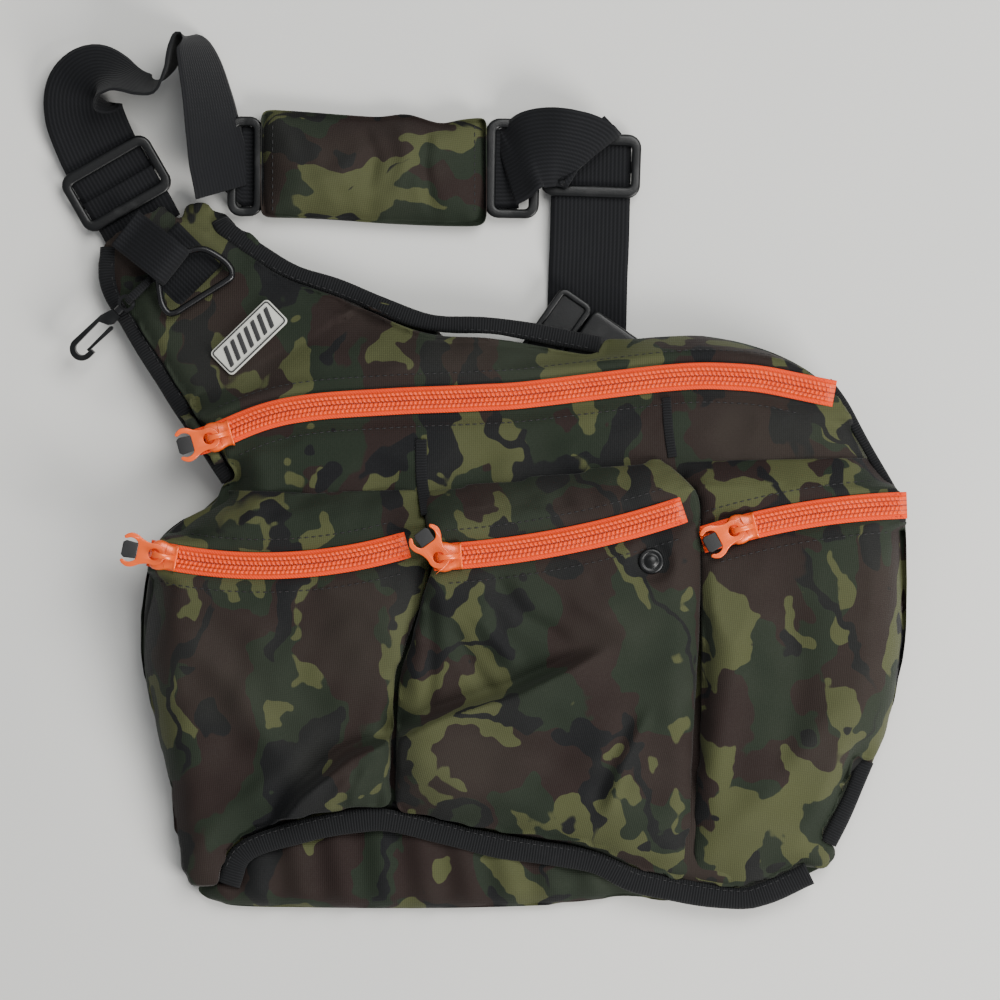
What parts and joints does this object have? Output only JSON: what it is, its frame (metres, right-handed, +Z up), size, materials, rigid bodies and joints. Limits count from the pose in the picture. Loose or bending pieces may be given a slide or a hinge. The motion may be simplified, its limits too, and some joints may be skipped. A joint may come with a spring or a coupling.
{
  "type": "sling bag",
  "caption": "Camouflage canvas sling bag with curved orange zips, a padded shoulder strap, a D-ring, a swivel hook and a side-release buckle.",
  "frame": {"origin": "middle of the bottom of the whole bag, lying on its back", "axes": "+Z up out of the bag's front, +Y towards the neck and shoulder strap, +X along the zips towards their closed-away ends"},
  "size_m": [0.4102, 0.4146, 0.0605],
  "materials": {
    "canvas": "printed woven polyester canvas in woodland camouflage",
    "pad_canvas": "printed woven polyester canvas in woodland camouflage over foam",
    "grosgrain": "black ribbed grosgrain binding tape",
    "webbing": "black polypropylene webbing, ribbed lengthwise",
    "zip_tape": "orange woven zip tape",
    "zip_coil": "orange nylon coil",
    "orange_enamel": "orange enamelled zinc",
    "rubber": "matt black rubber",
    "acetal": "black moulded acetal",
    "black_metal": "gloss black painted steel"
  },
  "bodies": {
    "bag": {"binding_top": "grosgrain", "binding_neck": "grosgrain", "binding_bottom": "grosgrain", "binding_side": "grosgrain", "back_panel": "canvas", "neck_panel": "canvas", "main_compartment": "canvas", "bottom_gusset": "canvas", "pocket_left": "canvas", "pocket_middle": "canvas", "pocket_right": "canvas", "zip_tape_main": "zip_tape", "zip_coil_main": "zip_coil", "zip_tape_left": "zip_tape", "zip_coil_left": "zip_coil", "zip_tape_middle": "zip_tape", "zip_coil_middle": "zip_coil", "zip_tape_right": "zip_tape", "zip_coil_right": "zip_coil", "badge": "rubber", "d_ring_tab": "webbing", "hook_tab": "webbing", "adjuster_neck": "acetal", "webbing_neck": "webbing", "webbing_loop": "webbing", "adjuster_pad_left": "acetal", "webbing_pad": "webbing", "shoulder_pad": "pad_canvas", "adjuster_pad_right": "acetal", "webbing_twist": "webbing", "webbing_drop": "webbing", "buckle_plug": "acetal", "snap_stud": "acetal"},
    "slider_main": {"slider_main": "orange_enamel"},
    "puller_main": {"puller_main": "orange_enamel", "grip_main": "rubber"},
    "slider_left": {"slider_left": "orange_enamel"},
    "puller_left": {"puller_left": "orange_enamel", "grip_left": "rubber"},
    "slider_middle": {"slider_middle": "orange_enamel"},
    "puller_middle": {"puller_middle": "orange_enamel", "grip_middle": "rubber"},
    "slider_right": {"slider_right": "orange_enamel"},
    "puller_right": {"puller_right": "orange_enamel", "grip_right": "rubber"},
    "ring": {"d_ring": "black_metal"},
    "hook_eye": {"hook_swivel": "black_metal"},
    "hook": {"hook_body": "acetal"},
    "hook_gate": {"hook_gate": "acetal"},
    "buckle_socket": {"buckle_socket": "acetal"},
    "prong_upper": {"buckle_prong_upper": "acetal"},
    "prong_lower": {"buckle_prong_lower": "acetal"},
    "adjuster_drop": {"adjuster_drop": "acetal"}
  },
  "joints": [
    {"name": "slider_main_travel", "type": "hinge", "parent": "bag", "child": "slider_main", "pos_m": [0.06294, -0.63404, 0.033], "axis": [0, 0, -1], "range_deg": [0, 23.87]},
    {"name": "puller_main_lift", "type": "hinge", "parent": "slider_main", "child": "puller_main", "pos_m": [-0.12262, 0.01938, 0.0392], "axis": [-0.2732, 0.962, 0], "range_deg": [0, 170]},
    {"name": "slider_left_travel", "type": "hinge", "parent": "bag", "child": "slider_left", "pos_m": [-0.10081, 0.19515, 0.043], "axis": [0, 0, 1], "range_deg": [0, 26.08]},
    {"name": "puller_left_lift", "type": "hinge", "parent": "slider_left", "child": "puller_left", "pos_m": [-0.14771, -0.03742, 0.0492], "axis": [0.1977, 0.9803, 0], "range_deg": [0, 170]},
    {"name": "slider_middle_travel", "type": "hinge", "parent": "bag", "child": "slider_middle", "pos_m": [-0.04517, 0.40855, 0.049], "axis": [0, 0, 1], "range_deg": [0, 13.07]},
    {"name": "puller_middle_lift", "type": "hinge", "parent": "slider_middle", "child": "puller_middle", "pos_m": [-0.01361, -0.03742, 0.0552], "axis": [-0.0706, 0.9975, 0], "range_deg": [0, 170]},
    {"name": "slider_right_travel", "type": "hinge", "parent": "bag", "child": "slider_right", "pos_m": [0.21243, -0.36606, 0.045], "axis": [0, 0, -1], "range_deg": [0, 10.06]},
    {"name": "puller_right_lift", "type": "hinge", "parent": "slider_right", "child": "puller_right", "pos_m": [0.12463, -0.02412, 0.0512], "axis": [-0.2487, 0.9686, 0], "range_deg": [0, 170]},
    {"name": "ring_swing", "type": "hinge", "parent": "bag", "child": "ring", "pos_m": [-0.14781, 0.10298, 0.0221], "axis": [-0.6157, -0.788, 0], "range_deg": [0, 60]},
    {"name": "hook_swing", "type": "hinge", "parent": "bag", "child": "hook_eye", "pos_m": [-0.16461, 0.08528, 0.01943], "axis": [-0.7071, 0.7071, 0], "range_deg": [0, 75]},
    {"name": "hook_turn", "type": "hinge", "parent": "hook_eye", "child": "hook", "pos_m": [-0.16461, 0.08528, 0.01943], "axis": [-0.6984, -0.6984, -0.1564], "continuous": true},
    {"name": "hook_gate_push", "type": "hinge", "parent": "hook", "child": "hook_gate", "pos_m": [-0.17457, 0.07093, 0.01671], "axis": [0.1106, 0.1106, -0.9877], "range_deg": [0, 14], "stiffness_Nm_per_rad": 0.01, "springref_deg": -8.59},
    {"name": "buckle_release", "type": "slide", "parent": "bag", "child": "buckle_socket", "axis": [-0.8192, 0.5736, 0], "range_m": [0, 0.03]},
    {"name": "prong_upper_pinch", "type": "hinge", "parent": "bag", "child": "prong_upper", "pos_m": [0.05286, 0.0771, 0.0074], "axis": [0, 0, 1], "range_deg": [0, 8], "stiffness_Nm_per_rad": 0.05, "springref_deg": -5.73},
    {"name": "prong_lower_pinch", "type": "hinge", "parent": "bag", "child": "prong_lower", "pos_m": [0.03187, 0.04712, 0.0074], "axis": [0, 0, -1], "range_deg": [0, 8], "stiffness_Nm_per_rad": 0.05, "springref_deg": -5.73},
    {"name": "adjuster_drop_slide", "type": "slide", "parent": "bag", "child": "adjuster_drop", "axis": [-0.0349, -0.9994, 0], "range_m": [0, 0.03]}
  ]
}
